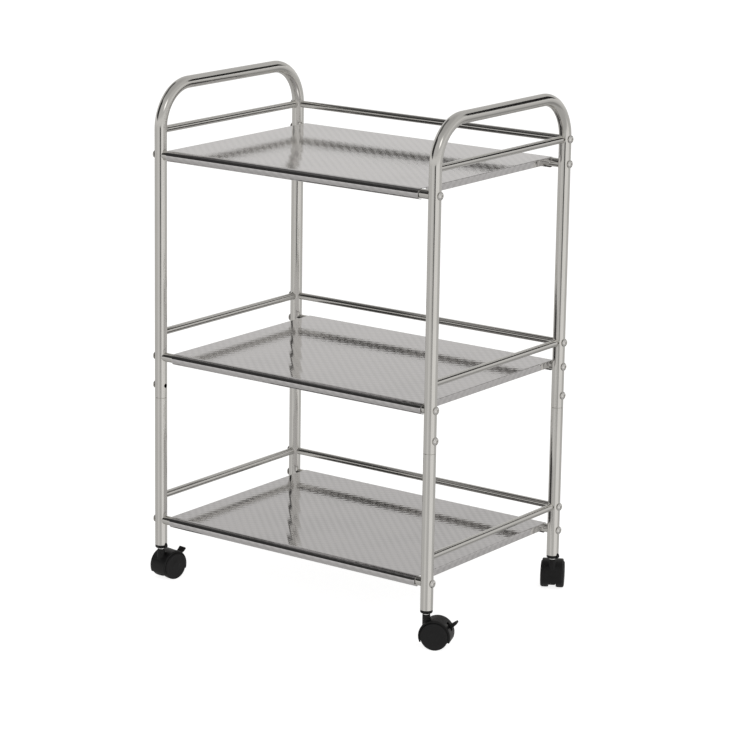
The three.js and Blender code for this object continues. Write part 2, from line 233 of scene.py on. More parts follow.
@dataclass(frozen=True)
class EmbossedSheet:
    """Satin stainless sheet, with painted shade that darkens its colour along the creases of the lattice
    pressed into it.
    """

    name: str = "embossed_stainless_sheet"
    colour: tuple[float, float, float] = (0.79, 0.78, 0.785)
    colour_worn: tuple[float, float, float] = (0.74, 0.725, 0.73)
    roughness: tuple[float, float] = (0.05, 0.09)
    painted_crease_shade: float = 0.79
    crease_shade_fade: tuple[float, float] = (-0.5, 1.0)
    grain_per_metre: float = 1400.0
    cloud_per_metre: float = 9.0
    grain_bump: tuple[float, float] = (0.3, 0.02 * MM)

    def build(self) -> bpy.types.Material:
        """Build the material, with a grain that runs along the shelf's length.

        Returns:
            The material.
        """
        material, graph = new_material(self.name)
        place = graph.add("TexCoord").outputs["Object"]
        grain = graph.noise(graph.stretched(place, (0.04, 1.0, 1.0)), self.grain_per_metre)
        cloud = graph.noise(place, self.cloud_per_metre, 4.0)
        ridge = graph.add("Attribute", attribute_name=CREASE_SHADE_MASK).outputs["Fac"]
        face = graph.blend(graph.spread(cloud, -0.4, 1.3), rgba(self.colour), rgba(self.colour_worn))
        # Painted shade: the colour is darkened along the lattice creases by the ridge mask, and the cloud
        # noise fades it in patches.
        crease_shade_colour = rgba(tuple(self.painted_crease_shade * c for c in self.colour))
        crease_shade_blend = graph.math("ADD", ridge, graph.spread(cloud, *self.crease_shade_fade))
        colour = graph.blend(crease_shade_blend, crease_shade_colour, face)
        rough = graph.spread(graph.math("MULTIPLY", grain, graph.math("ADD", cloud, 0.6)), *self.roughness)
        graph.surface({"Base Color": colour, "Metallic": 1.0, "Roughness": rough}, grain, self.grain_bump)
        return material


@dataclass(frozen=True)
class BrightPlate:
    """Nickel or zinc plated steel of the screws, stems and axles."""

    name: str
    colour: tuple[float, float, float]
    roughness: tuple[float, float]
    marks_per_metre: float = 2500.0
    clouds_per_metre: float = 100.0
    mark_bump: tuple[float, float] = (0.15, 0.01 * MM)
    dulling: float = 0.86

    def build(self) -> bpy.types.Material:
        """Build the material, with fine turning marks and slight clouding.

        Returns:
            The material.
        """
        material, graph = new_material(self.name)
        place = graph.add("TexCoord").outputs["Object"]
        marks = graph.noise(place, self.marks_per_metre)
        cloud = graph.noise(place, self.clouds_per_metre, 4.0)
        dull = tuple(self.dulling * c for c in self.colour)
        colour = graph.blend(cloud, rgba(self.colour), rgba(dull))
        rough = graph.spread(cloud, *self.roughness)
        graph.surface({"Base Color": colour, "Metallic": 1.0, "Roughness": rough}, marks, self.mark_bump)
        return material


@dataclass(frozen=True)
class MouldedPlastic:
    """Black moulded plastic with a fine spark-eroded grain and lighter rubbed patches."""

    name: str
    colour: tuple[float, float, float]
    colour_rubbed: tuple[float, float, float]
    roughness: tuple[float, float]
    grain_per_metre: float = 3200.0
    grain_bump: tuple[float, float] = (0.35, 0.04 * MM)
    rubs_per_metre: float = 3200.0 / 60
    specular: float = 0.28

    def build(self) -> bpy.types.Material:
        """Build the material.

        Returns:
            The material.
        """
        material, graph = new_material(self.name)
        place = graph.add("TexCoord").outputs["Object"]
        grain = graph.noise(place, self.grain_per_metre, 2.0)
        rub = graph.noise(place, self.rubs_per_metre, 5.0)
        rubbed = graph.spread(graph.math("POWER", rub, 2.0), 0.0, 1.0)
        colour = graph.blend(rubbed, rgba(self.colour), rgba(self.colour_rubbed))
        look = {"Base Color": colour, "Roughness": graph.spread(rub, *self.roughness),
                "Specular IOR Level": self.specular}
        graph.surface(look, grain, self.grain_bump)
        return material


FINISHES = {
    Slot.TUBE: PolishedTube(),
    Slot.TRAY: EmbossedSheet(),
    Slot.SCREW: BrightPlate("bright_screw_steel", (0.86, 0.85, 0.83), (0.07, 0.13)),
    Slot.PIN: BrightPlate("bright_zinc_pin", (0.95, 0.95, 0.94), (0.20, 0.32)),
    Slot.HOUSING: MouldedPlastic(
        "black_moulded_nylon", (0.005, 0.005, 0.0052), (0.010, 0.010, 0.0105), (0.34, 0.48)
    ),
    Slot.WHEEL: MouldedPlastic(
        "black_wheel_plastic", (0.008, 0.008, 0.0083), (0.013, 0.013, 0.0135), (0.44, 0.60)
    ),
}


# ------------------------------------------------------------------ mesh work


def full_turn(sides: int) -> list[float]:
    """Give the angles of the corners of a regular polygon."""
    return [2 * math.pi * k / sides for k in range(sides)]


def fillet(points: Outline, radius: float, steps: int = 3, closed: bool = True) -> Outline:
    """Round the corners of an outline.

    Args:
        points: The outline's corners.
        radius: How far back from each corner its curve starts.
        steps: Segments in each curve.
        closed: Whether the outline joins back to its start.

    Returns:
        The rounded outline.
    """
    rounded: Outline = []
    count = len(points)
    for i, (x, y) in enumerate(points):
        if not closed and i in (0, count - 1):
            rounded.append((x, y))
            continue
        corner = Vector((x, y))
        before = Vector(points[i - 1]) - corner
        after = Vector(points[(i + 1) % count]) - corner
        start = corner + before * min(radius / before.length, 0.49)
        end = corner + after * min(radius / after.length, 0.49)
        for k in range(steps + 1):
            t = k / steps
            p = start * (1 - t) ** 2 + corner * 2 * t * (1 - t) + end * t**2
            rounded.append((p.x, p.y))
    return rounded


def arc(centre: tuple[float, float], radius: float, start: float, end: float, steps: int) -> Outline:
    """Lay points along an arc.

    Args:
        centre: The arc's centre.
        radius: Its radius.
        start: First angle, in degrees.
        end: Last angle, in degrees.
        steps: Number of segments.

    Returns:
        The points, first and last included.
    """
    turns = [math.radians(start + (end - start) * k / steps) for k in range(steps + 1)]
    return [(centre[0] + radius * math.cos(a), centre[1] + radius * math.sin(a)) for a in turns]


def loft(rings: Sequence[Sequence[Vector]], wrap: bool = False, caps: bool = False) -> bmesh.types.BMesh:
    """Skin a row of closed rings with quads, mapped in metres around (U) and along (V).

    Args:
        rings: Closed rings with the same number of points.
        wrap: Whether the last ring joins back to the first.
        caps: Whether the first and last rings are each closed with a face.

    Returns:
        The skinned mesh.
    """
    bm = bmesh.new()
    uv = bm.loops.layers.uv.new("UVMap")
    grid = [[bm.verts.new(point) for point in ring] for ring in rings]
    spans = list(zip(grid, grid[1:]))
    if wrap:
        spans.append((grid[-1], grid[0]))
    count = len(grid[0])
    along = 0.0
    for lower, upper in spans:
        step = (upper[0].co - lower[0].co).length
        around = 0.0
        for i in range(count):
            j = (i + 1) % count
            width = (lower[j].co - lower[i].co).length
            face = bm.faces.new((lower[i], lower[j], upper[j], upper[i]))
            places = ((0, 0), (width, 0), (width, step), (0, step))
            for corner, (u, v) in zip(face.loops, places):
                corner[uv].uv = (around + u, along + v)
            around += width
        along += step
    if caps:
        bm.faces.new(grid[0])
        bm.faces.new(grid[-1])
    bmesh.ops.recalc_face_normals(bm, faces=bm.faces)
    return bm


def revolve(profile: Outline, sides: int, closed: bool = False) -> bmesh.types.BMesh:
    """Turn a profile about Z.

    Args:
        profile: Radius and height pairs. An open profile's ends are closed with a face where
            they stand off the axis, and with a point where they lie on it.
        sides: Segments in a full turn.
        closed: Whether the profile joins back to its start.

    Returns:
        The turned mesh.
    """
    body = [(r, z) for r, z in profile if r > TINY]
    rings = []
    for r, z in body:
        rings.append([Vector((r * math.cos(a), r * math.sin(a), z)) for a in full_turn(sides)])
    bm = loft(rings, wrap=closed, caps=not closed)
    if not closed:
        poles = [point for point in (profile[0], profile[-1]) if point[0] <= TINY]
        caps = [face for face in bm.faces if len(face.verts) == sides and sides > 4]
        for face in bmesh.ops.poke(bm, faces=caps)["verts"]:
            nearest = min(poles, key=lambda pole: abs(pole[1] - face.co.z), default=None)
            if nearest is not None:
                face.co.z = nearest[1]
    bmesh.ops.recalc_face_normals(bm, faces=bm.faces)
    return bm


def slab(outline: Outline, half_width: float, edge: float = 0.0) -> bmesh.types.BMesh:
    """Make an XZ outline thick along Y, with rounded rims.

    Args:
        outline: X and Z pairs.
        half_width: Half of the thickness.
        edge: Size of the rounding along both rims.

    Returns:
        The solid.
    """
    rings = [[Vector((x, side * half_width, z)) for x, z in outline] for side in (-1, 1)]
    bm = loft(rings, caps=True)
    if edge > 0:
        rims = [e for e in bm.edges if abs(e.verts[0].co.y - e.verts[1].co.y) < TINY]
        bmesh.ops.bevel(bm, geom=rims, offset=edge, segments=3, profile=0.5, affect="EDGES",
                        clamp_overlap=True)
    return bm


def scene_mesh(name: str, bm: bmesh.types.BMesh) -> bpy.types.Mesh:
    """Store a mesh under a name, and free it.

    Args:
        name: The stored mesh's name.
        bm: The mesh.

    Returns:
        The stored mesh.
    """
    mesh = bpy.data.meshes.new(name)
    bm.to_mesh(mesh)
    bm.free()
    return mesh


def scene_object(name: str, data: bpy.types.ID) -> bpy.types.Object:
    """Put a mesh, lamp or camera into the scene.

    Args:
        name: The object's name.
        data: What it shows.

    Returns:
        The object.
    """
    item = bpy.data.objects.new(name, data)
    bpy.context.scene.collection.objects.link(item)
    return item


def evaluated(mesh_object: bpy.types.Object) -> bmesh.types.BMesh:
    """Read an object's mesh with its modifiers applied, and remove the object.

    Args:
        mesh_object: A temporary object.

    Returns:
        The finished mesh.
    """
    graph = bpy.context.evaluated_depsgraph_get()
    result = mesh_object.evaluated_get(graph)
    bm = bmesh.new()
    bm.from_mesh(result.to_mesh())
    result.to_mesh_clear()
    bpy.data.meshes.remove(mesh_object.data)
    return bm


def combine(base: bmesh.types.BMesh, tools: Iterable[bmesh.types.BMesh], how: Cut) -> bmesh.types.BMesh:
    """Join solids to a base solid, or cut them out of it.

    Args:
        base: The solid to change, which is freed.
        tools: The other solids, which are freed.
        how: Whether they are joined or cut out.

    Returns:
        The new solid.
    """
    holder = scene_object("work", scene_mesh("work", base))
    helpers = [scene_object("work", scene_mesh("work", tool)) for tool in tools]
    for helper in helpers:
        step = holder.modifiers.new("cut", "BOOLEAN")
        step.operation = how.value
        step.solver = "EXACT"
        step.object = helper
    result = evaluated(holder)
    for helper in helpers:
        bpy.data.meshes.remove(helper.data)
    return result


def softened(bm: bmesh.types.BMesh, width: float, segments: int = 2) -> bmesh.types.BMesh:
    """Round the hard edges of a moulded or machined solid.

    Args:
        bm: The solid, which is freed.
        width: Size of the rounding.
        segments: Segments across it.

    Returns:
        The rounded solid.
    """
    holder = scene_object("work", scene_mesh("work", bm))
    step = holder.modifiers.new("soften", "BEVEL")
    step.width = width
    step.segments = segments
    step.limit_method = "ANGLE"
    step.angle_limit = SHARP_ANGLE
    return evaluated(holder)


def moved(bm: bmesh.types.BMesh, matrix: Matrix) -> bmesh.types.BMesh:
    """Carry a mesh to another place, and give it back."""
    bm.transform(matrix)
    return bm


def merged(parts: Iterable[bmesh.types.BMesh]) -> bmesh.types.BMesh:
    """Gather separate shells into one mesh.

    Args:
        parts: The shells, which are freed.

    Returns:
        One mesh with all of them.
    """
    whole = bmesh.new()
    for part in parts:
        mesh = scene_mesh("part", part)
        whole.from_mesh(mesh)
        bpy.data.meshes.remove(mesh)
    return whole


class Workshop:
    """Makes the finishes once, and turns meshes into finished pieces."""

    def __init__(self) -> None:
        """Build one material for each slot."""
        self.materials = {slot: finish.build() for slot, finish in FINISHES.items()}

    def add(
        self, name: str, bm: bmesh.types.BMesh, slot: Slot, body: str, nodes: Sequence[str] = ()
    ) -> bpy.types.Object:
        """Finish a piece and let it ride on its body.

        Args:
            name: The piece's name.
            bm: Its mesh, which is freed.
            slot: The slot whose finish it takes.
            body: The body it moves with.
            nodes: The frame's nodes that it stands for.

        Returns:
            The piece.
        """
        mesh = scene_mesh(name, bm)
        mesh.polygons.foreach_set("use_smooth", [True] * len(mesh.polygons))
        mesh.set_sharp_from_angle(angle=SHARP_ANGLE)
        mesh.materials.append(self.materials[slot])
        piece = scene_object(name, mesh)
        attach(piece, body)
        if nodes:
            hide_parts(*nodes)
        LOG.info("%s: %d faces on %s", name, len(mesh.polygons), body)
        return piece


def middle(node: str) -> Vector:
    """Give the centre of a frame node's box."""
    low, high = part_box(node)
    return (low + high) / 2


# ------------------------------------------------------------------ tubes


@dataclass(frozen=True)
class JointScrewHole:
    """The cross hole through a leg where the upper and lower halves are screwed together."""

    radius: float = 3.7 * MM
    sides: int = 32

    def cutter(self, leg: Vector, height: float, length: float) -> bmesh.types.BMesh:
        """Make the drill for one hole: a rod along X, through the leg at the given height."""
        rod = revolve([(self.radius, -length / 2), (self.radius, length / 2)], self.sides)
        return moved(rod, Matrix.Translation((leg.x, leg.y, height)) @ Matrix.Rotation(math.pi / 2, 4, "Y"))


@dataclass
class EndFrame:
    """One end of the cart: two upper legs and the push handle, bent from a single tube."""

    side: str
    wall: float = 1.0 * MM
    bend_radius: float = 76.0 * MM
    lip: float = 0.35 * MM
    sides: int = 72
    bend_steps: int = 80
    straight_step: float = 40.0 * MM

    def __post_init__(self) -> None:
        """Read the tube's place from the frame."""
        self.node = f"{self.side}_upper_frame"
        low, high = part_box(self.node)
        self.radius = (high.x - low.x) / 2
        self.x = (high.x + low.x) / 2
        self.foot = low.z
        self.top = high.z - self.radius
        self.front = low.y + self.radius
        self.rear = high.y - self.radius

    def route(self) -> list[tuple[Vector, Vector]]:
        """Lay out the centre line.

        Returns:
            Points and directions, from the front foot over the handle to the rear foot.
        """
        turn = self.top - self.bend_radius
        rise = max(2, round((turn - self.foot) / self.straight_step))
        heights = [self.foot + (turn - self.foot) * k / rise for k in range(rise)]
        stations = [(self.front, z, 0.0, 1.0) for z in heights]
        for k in range(self.bend_steps + 1):
            a = math.pi / 2 * k / self.bend_steps
            y = self.front + self.bend_radius * (1 - math.cos(a))
            stations.append((y, turn + self.bend_radius * math.sin(a), math.sin(a), math.cos(a)))
        mirrored = [(self.front + self.rear - y, z, dy, -dz) for y, z, dy, dz in reversed(stations)]
        return [
            (Vector((self.x, y, z)), Vector((0.0, dy, dz)))
            for y, z, dy, dz in stations + mirrored
        ]

    def ring(self, point: Vector, direction: Vector, radius: float) -> list[Vector]:
        """Draw one section of the tube.

        Args:
            point: A point of the centre line.
            direction: The centre line's direction there.
            radius: The section's radius.

        Returns:
            The section's points.
        """
        across = Vector((1.0, 0.0, 0.0))
        outward = across.cross(direction)
        return [point + radius * (math.cos(a) * across + math.sin(a) * outward)
                for a in full_turn(self.sides)]

    def build(self, shop: Workshop) -> bpy.types.Object:
        """Build the tube, with its open feet and the cross holes of the leg joints.

        Args:
            shop: The workshop.

        Returns:
            The piece.
        """
        route = self.route()
        inner = self.radius - self.wall
        rings = [self.ring(p, d, self.radius) for p, d in route]
        bore = [self.ring(p, d, inner) for p, d in reversed(route)]
        (start, up), (end, down) = route[0], route[-1]
        rings[0] = self.ring(start + up * self.lip, up, self.radius)
        rings[-1] = self.ring(end - down * self.lip, down, self.radius)
        rims = [self.ring(p, d, self.radius - self.lip) for p, d in (route[-1], route[0])]
        tube = loft([*rings, rims[0], *bore, rims[1]], wrap=True)
        drills = []
        for corner in ("front", "rear"):
            screw = middle(f"{corner}_{self.side}_joint_screw")
            drills.append(JointScrewHole().cutter(Vector((self.x, screw.y, 0)), screw.z, 3 * self.radius))
        tube = combine(tube, drills, Cut.SUBTRACT)
        return shop.add(f"{self.side}_end_frame_tube", tube, Slot.TUBE, ROOT_BODY, [self.node])


@dataclass
class LowerLeg:
    """A lower leg tube, its top swaged to slide up inside the end frame."""

    corner: str
    wall: float = 1.0 * MM
    spigot_play: float = 0.5 * MM
    spigot_length: float = 55.0 * MM
    swage_length: float = 4.0 * MM
    lip: float = 0.7 * MM
    sides: int = 56

    def build(self, shop: Workshop) -> bpy.types.Object:
        """Build the leg.

        Args:
            shop: The workshop.

        Returns:
            The piece.
        """
        node = f"{self.corner}_lower_leg"
        low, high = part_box(node)
        radius = (high.x - low.x) / 2
        inner = radius - self.wall
        spigot = inner - self.spigot_play
        shoulder = high.z - self.spigot_length
        profile = [
            (inner, low.z + self.lip), (radius - self.wall / 2, low.z), (radius, low.z + self.lip),
            (radius, shoulder - self.lip), (radius - self.lip, shoulder), (spigot, shoulder),
            (spigot, high.z), (spigot - self.wall, high.z),
            (spigot - self.wall, shoulder - self.swage_length), (inner, shoulder - 2 * self.swage_length),
        ]
        leg = moved(revolve(profile, self.sides, closed=True), Matrix.Translation(
            ((low.x + high.x) / 2, (low.y + high.y) / 2, 0)))
        screw = middle(f"{self.corner}_joint_screw")
        drill = JointScrewHole().cutter(middle(node), screw.z, 3 * radius)
        leg = combine(leg, [drill], Cut.SUBTRACT)
        return shop.add(f"{self.corner}_lower_leg_tube", leg, Slot.TUBE, ROOT_BODY, [node])


@dataclass
class CopedTube:
    """A straight tube whose ends are cut to sit on the round legs."""

    node: str
    run: Axis
    leg_radius: float
    ends: tuple[float, float]
    wall: float = 1.0 * MM
    seat: float = 0.15 * MM
    plug_length: float = 0.0
    plug_bore: float = 3.7 * MM
    bead: float = 0.0
    bead_ripples: int = 15
    bead_ripple: float = 0.14
    bead_sides: int = 8
    sides: int = 48
    spans: int = 8

    def section(self, position: float, radius: float, cope: float) -> list[Vector]:
        """Draw one section of the tube.

        Args:
            position: Its place along the run.
            radius: Its radius.
            cope: -1 or 1 to follow the leg at the low or high end, 0 for a plain section.

        Returns:
            The section's points.
        """
        centre = middle(self.node)
        points = []
        for a in full_turn(self.sides):
            side, rise = radius * math.cos(a), radius * math.sin(a)
            reach = math.sqrt((self.leg_radius + self.seat) ** 2 - side**2)
            at = position - cope * reach
            if self.run is Axis.X:
                points.append(Vector((at, centre.y + side, centre.z + rise)))
            else:
                points.append(Vector((centre.x + side, at, centre.z + rise)))
        return points

    def weld(self, end: float, cope: float, radius: float) -> bmesh.types.BMesh:
        """Lay a rippled weld bead round one end.

        Args:
            end: The leg's centre line along the run.
            cope: -1 for the low end, 1 for the high end.
            radius: The tube's radius.

        Returns:
            The bead.
        """
        seam = self.section(end, radius + self.bead / 3, cope)
        centre = sum(seam, Vector()) / len(seam)
        axis = Vector((1.0, 0.0, 0.0)) if self.run is Axis.X else Vector((0.0, 1.0, 0.0))
        rings = []
        for k, point in enumerate(seam):
            ripple = 1 + self.bead_ripple * math.sin(2 * math.pi * self.bead_ripples * k / self.sides)
            outward = point - centre
            outward = (outward - axis * outward.dot(axis)).normalized()
            rings.append([point + self.bead * ripple * (math.cos(a) * outward + math.sin(a) * axis)
                          for a in full_turn(self.bead_sides)])
        return loft(rings, wrap=True)

    def build(self, shop: Workshop) -> bpy.types.Object:
        """Build the tube, plugged and welded as its fields say.

        Args:
            shop: The workshop.

        Returns:
            The piece.
        """
        low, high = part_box(self.node)
        radius = (high.z - low.z) / 2
        start, end = self.ends
        step = (end - start) / self.spans
        middles = [start + step * k for k in range(1, self.spans)]
        outer = [self.section(start, radius, -1), *(self.section(x, radius, 0) for x in middles)]
        outer.append(self.section(end, radius, 1))
        bore = self.plug_bore if self.plug_length else radius - self.wall
        inner = [self.section(end, bore, 1)]
        if self.plug_length:
            depth = self.leg_radius + self.plug_length
            inner += [
                self.section(end - depth, bore, 0), self.section(end - depth, radius - self.wall, 0),
                self.section(start + depth, radius - self.wall, 0), self.section(start + depth, bore, 0),
            ]
        inner.append(self.section(start, bore, -1))
        parts = [loft([*outer, *inner], wrap=True)]
        if self.bead:
            parts += [self.weld(start, -1, radius), self.weld(end, 1, radius)]
        return shop.add(f"{self.node}_piece", merged(parts), Slot.TUBE, ROOT_BODY, [self.node])


# ------------------------------------------------------------------ trays


@dataclass
class Tray:
    """A shelf pressed from embossed sheet.

    The blank is a cross: its long edges roll over the shelf tubes and its short edges fold down.
    A lattice of shallow diamonds, on the diagonal, covers the whole blank.
    """

    tier: str
    thickness: float = 0.8 * MM
    fold_radius: float = 1.6 * MM
    fold_steps: int = 4
    flange_drop: float = 12.0 * MM
    flange_half_width: float = 187.0 * MM
    roll_turn: float = math.radians(190)
    roll_half_length: float = 271.5 * MM
    pitch: float = 12.5 * MM
    lines_per_pitch: int = 4
    relief: float = 0.11 * MM
    # weight of the first wave in the painted shade mask, so its creases take the heavier painted shade
    ridge_share: float = 0.65

    def __post_init__(self) -> None:
        """Read the shelf's place from the frame and work out the blank."""
        self.node = f"{self.tier}_tray"
        low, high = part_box(self.node)
        rear, front = middle(f"{self.tier}_rear_shelf_tube"), middle(f"{self.tier}_front_shelf_tube")
        self.centre = Vector(((low.x + high.x) / 2, (rear.y + front.y) / 2, high.z - self.relief))
        self.flat_x = (high.x - low.x) / 2 - self.fold_radius
        self.flat_y = (rear.y - front.y) / 2
        self.roll_radius = high.y - rear.y
        self.half_x = self.flat_x + self.fold_radius * math.pi / 2 + self.flange_drop - self.fold_radius
        self.half_y = self.flat_y + self.roll_radius * self.roll_turn

    def waves(self, x: float, y: float) -> tuple[float, float]:
        """Give the lattice's two crossing waves at a point of the blank, each 0 on its creases."""
        u, v = (math.pi * s / math.sqrt(2) / self.pitch for s in (x + y, x - y))
        return math.sin(u), math.sin(v)

    def relief_at(self, x: float, y: float) -> float:
        """Give the height of the embossed lattice at a point of the blank."""
        one, other = self.waves(x, y)
        return self.relief * math.sqrt(abs(one * other))

    def ridge_at(self, x: float, y: float) -> float:
        """Give 0 where two creases cross and up to 1 on a ridge, as the mask of the painted shade that the
        finish lays along the creases.
        """
        one, other = self.waves(x, y)
        return self.ridge_share * one**2 + (1 - self.ridge_share) * other**2

    def formed(self, x: float, y: float, lift: float) -> Vector:
        """Carry a point of the blank to its place on the rolled and folded sheet.

        Args:
            x: Place along the blank.
            y: Place across it.
            lift: Distance outward from the sheet's face.

        Returns:
            The point on the shelf.
        """
        past_y, past_x = abs(y) - self.flat_y, abs(x) - self.flat_x
        if past_y > 0:
            a, r = past_y / self.roll_radius, self.roll_radius + lift
            offset = Vector((x, math.copysign(self.flat_y + r * math.sin(a), y), r * math.cos(a)))
            return self.centre + offset - Vector((0, 0, self.roll_radius))
        if past_x > 0:
            a = min(past_x / self.fold_radius, math.pi / 2)
            r = self.fold_radius + lift
            drop = max(0.0, past_x - self.fold_radius * math.pi / 2)
            out = math.copysign(self.flat_x + r * math.sin(a), x)
            return self.centre + Vector((out, y, r * math.cos(a) - self.fold_radius - drop))
        return self.centre + Vector((x, y, lift))

    def in_blank(self, x: float, y: float, margin: float = 0.0) -> bool:
        """Tell whether a point lies on the cross-shaped blank.

        Args:
            x: Place along the blank.
            y: Place across it.
            margin: How far outside still counts.

        Returns:
            True on the blank.
        """
        if abs(y) > self.flat_y:
            return abs(x) < self.roll_half_length + margin and abs(y) < self.half_y + margin
        if abs(x) > self.flat_x + self.fold_radius:
            return abs(y) < self.flange_half_width + margin and abs(x) < self.half_x + margin
        return True

    def blank(self) -> bmesh.types.BMesh:
        """Cut the flat blank, meshed along the lattice so that every crease lies on an edge.

        Returns:
            The blank in its own plane.
        """
        bm = bmesh.new()
        step = self.pitch / self.lines_per_pitch
        reach = math.ceil((self.half_x + self.half_y) / math.sqrt(2) / step)
        verts: dict[tuple[int, int], bmesh.types.BMVert] = {}

        def vertex(i: int, j: int) -> bmesh.types.BMVert:
            """Give the vertex at lattice lines i and j, made once."""
            if (i, j) not in verts:
                x, y = (i + j) * step / math.sqrt(2), (i - j) * step / math.sqrt(2)
                verts[i, j] = bm.verts.new((x, y, 0.0))
            return verts[i, j]

        for i in range(-reach, reach):
            for j in range(-reach, reach):
                x, y = (i + j + 1) * step / math.sqrt(2), (i - j) * step / math.sqrt(2)
                inside = abs(x) < self.half_x + 2 * step and abs(y) < self.half_y + 2 * step
                if inside and self.in_blank(x, y, 2 * step):
                    a, b, c, d = vertex(i, j), vertex(i + 1, j), vertex(i + 1, j + 1), vertex(i, j + 1)
                    bm.faces.new((a, b, c))
                    bm.faces.new((a, c, d))
        self.trim(bm)
        return bm

    def trim(self, bm: bmesh.types.BMesh) -> None:
        """Trim the blank to its outline and cut it along its folds.

        Args:
            bm: The blank.
        """
        folds = [self.flat_x + self.fold_radius * math.pi / 2 * k / self.fold_steps
                 for k in range(self.fold_steps + 1)]
        lines = [(0, self.half_x, True), (1, self.half_y, True), (0, self.roll_half_length, False),
                 (0, self.flat_x + self.fold_radius, False),
                 (1, self.flat_y, False), (1, self.flange_half_width, False)]
        lines += [(0, fold, False) for fold in folds]
        for axis, place, outer in lines:
            for side in (-1, 1):
                normal = Vector((0.0, 0.0, 0.0))
                normal[axis] = side
                bmesh.ops.bisect_plane(
                    bm, geom=[*bm.verts, *bm.edges, *bm.faces], dist=1e-6,
                    plane_co=normal * place, plane_no=normal, clear_outer=outer,
                )
        spare = [f for f in bm.faces if not self.in_blank(*f.calc_center_median().xy)]
        bmesh.ops.delete(bm, geom=spare, context="FACES")

    def build(self, shop: Workshop) -> bpy.types.Object:
        """Press the blank into shape and give it its thickness.

        Args:
            shop: The workshop.

        Returns:
            The piece.
        """
        bm = self.blank()
        under: dict[bmesh.types.BMVert, bmesh.types.BMVert] = {}
        ridges = bm.verts.layers.float.new(CREASE_SHADE_MASK)
        flat = [(v, v.co.x, v.co.y) for v in bm.verts]
        for v, x, y in flat:
            # mask for the painted crease shade in the sheet's finish
            v[ridges] = self.ridge_at(x, y)
            under[v] = bm.verts.new(self.formed(x, y, -self.thickness))
            v.co = self.formed(x, y, self.relief_at(x, y))
        rims = [tuple(e.verts) for e in bm.edges if e.is_boundary]
        for face in list(bm.faces):
            bm.faces.new([under[v] for v in reversed(face.verts)])
        for a, b in rims:
            bm.faces.new((a, b, under[b], under[a]))
        bmesh.ops.recalc_face_normals(bm, faces=bm.faces)
        return shop.add(f"{self.tier}_embossed_tray", bm, Slot.TRAY, ROOT_BODY, [self.node])


# ------------------------------------------------------------------ screws


@dataclass(frozen=True)
class DomedScrew:
    """A button-head screw with a hexagonal socket, its head outward along Z."""

    head_radius: float = 7.2 * MM
    head_height: float = 4.5 * MM
    edge: float = 0.9 * MM
    shank_radius: float = 3.0 * MM
    shank_length: float = 36.0 * MM
    socket: float = 2.2 * MM
    socket_depth: float = 2.3 * MM
    sides: int = 48

    def mesh(self) -> bmesh.types.BMesh:
        """Turn the screw, with the underside of its head at 0.

        Returns:
            The screw's mesh.
        """
        rise = self.head_height - self.edge
        dome = [
            (self.head_radius * math.cos(a), self.edge + rise * math.sin(a))
            for a in (math.radians(9 * k) for k in range(9))
        ]
        rim = self.socket * 1.25
        profile = [
            (0.0, -self.shank_length), (self.shank_radius * 0.8, -self.shank_length),
            (self.shank_radius, -self.shank_length + MM), (self.shank_radius, 0.0),
            (self.head_radius - 0.5 * MM, 0.0), (self.head_radius, 0.35 * MM), *dome,
            (rim, self.head_height - 0.25 * MM),
        ]
        profile = [point for point in profile if point[0] >= rim or point[1] <= 0.0]
        floor = self.head_height - self.socket_depth
        screw = revolve([*profile, (self.socket, self.head_height - 0.5 * MM), (self.socket, floor),
                         (0.0, floor - 0.5 * MM)], self.sides)
        for v in screw.verts:
            flat = v.co.xy.length
            if v.co.z > floor - MM and 0.9 * self.socket < flat < 1.1 * self.socket:
                turn = math.atan2(v.co.y, v.co.x) % (math.pi / 3) - math.pi / 6
                v.co.xy *= math.cos(math.pi / 6) / math.cos(turn)
        return screw


@dataclass
class ScrewSet:
    """The screws of one side: those on the frame's own nodes, and the rear leg's tube screws."""

    side: str
    outward: float
    bite: float = 0.25 * MM
    joint_shank: float = 15.0 * MM

    def place(self, shop: Workshop, name: str, line: str, shank: float, nodes: Sequence[str] = ()) -> None:
        """Set one screw into the outside of a leg.

        Args:
            shop: The workshop.
            name: The piece's name.
            line: The frame's node whose centre line it is set on.
            shank: Length of its shank.
            nodes: The frame's nodes that it stands for.
        """
        low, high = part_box(f"{self.side}_upper_frame")
        at = middle(line)
        at.x = (high.x if self.outward > 0 else low.x) - self.outward * self.bite
        turn = Matrix.Rotation(self.outward * math.pi / 2, 4, "Y")
        screw = moved(DomedScrew(shank_length=shank).mesh(), Matrix.Translation(at) @ turn)
        shop.add(name, screw, Slot.SCREW, ROOT_BODY, nodes)

    def build(self, shop: Workshop) -> None:
        """Set every screw of the side.

        Args:
            shop: The workshop.
        """
        long_shank = DomedScrew().shank_length
        for row in ("front", "rear"):
            node = f"{row}_{self.side}_joint_screw"
            self.place(shop, f"{node}_piece", node, self.joint_shank, [node])
        for tier in TIERS:
            node = f"{tier}_front_{self.side}_shelf_screw"
            self.place(shop, f"{node}_piece", node, long_shank, [node])
            for part in ("rear_shelf_tube", "rear_rail"):
                self.place(shop, f"{tier}_{self.side}_{part}_screw", f"{tier}_{part}", long_shank)


# ------------------------------------------------------------------ casters


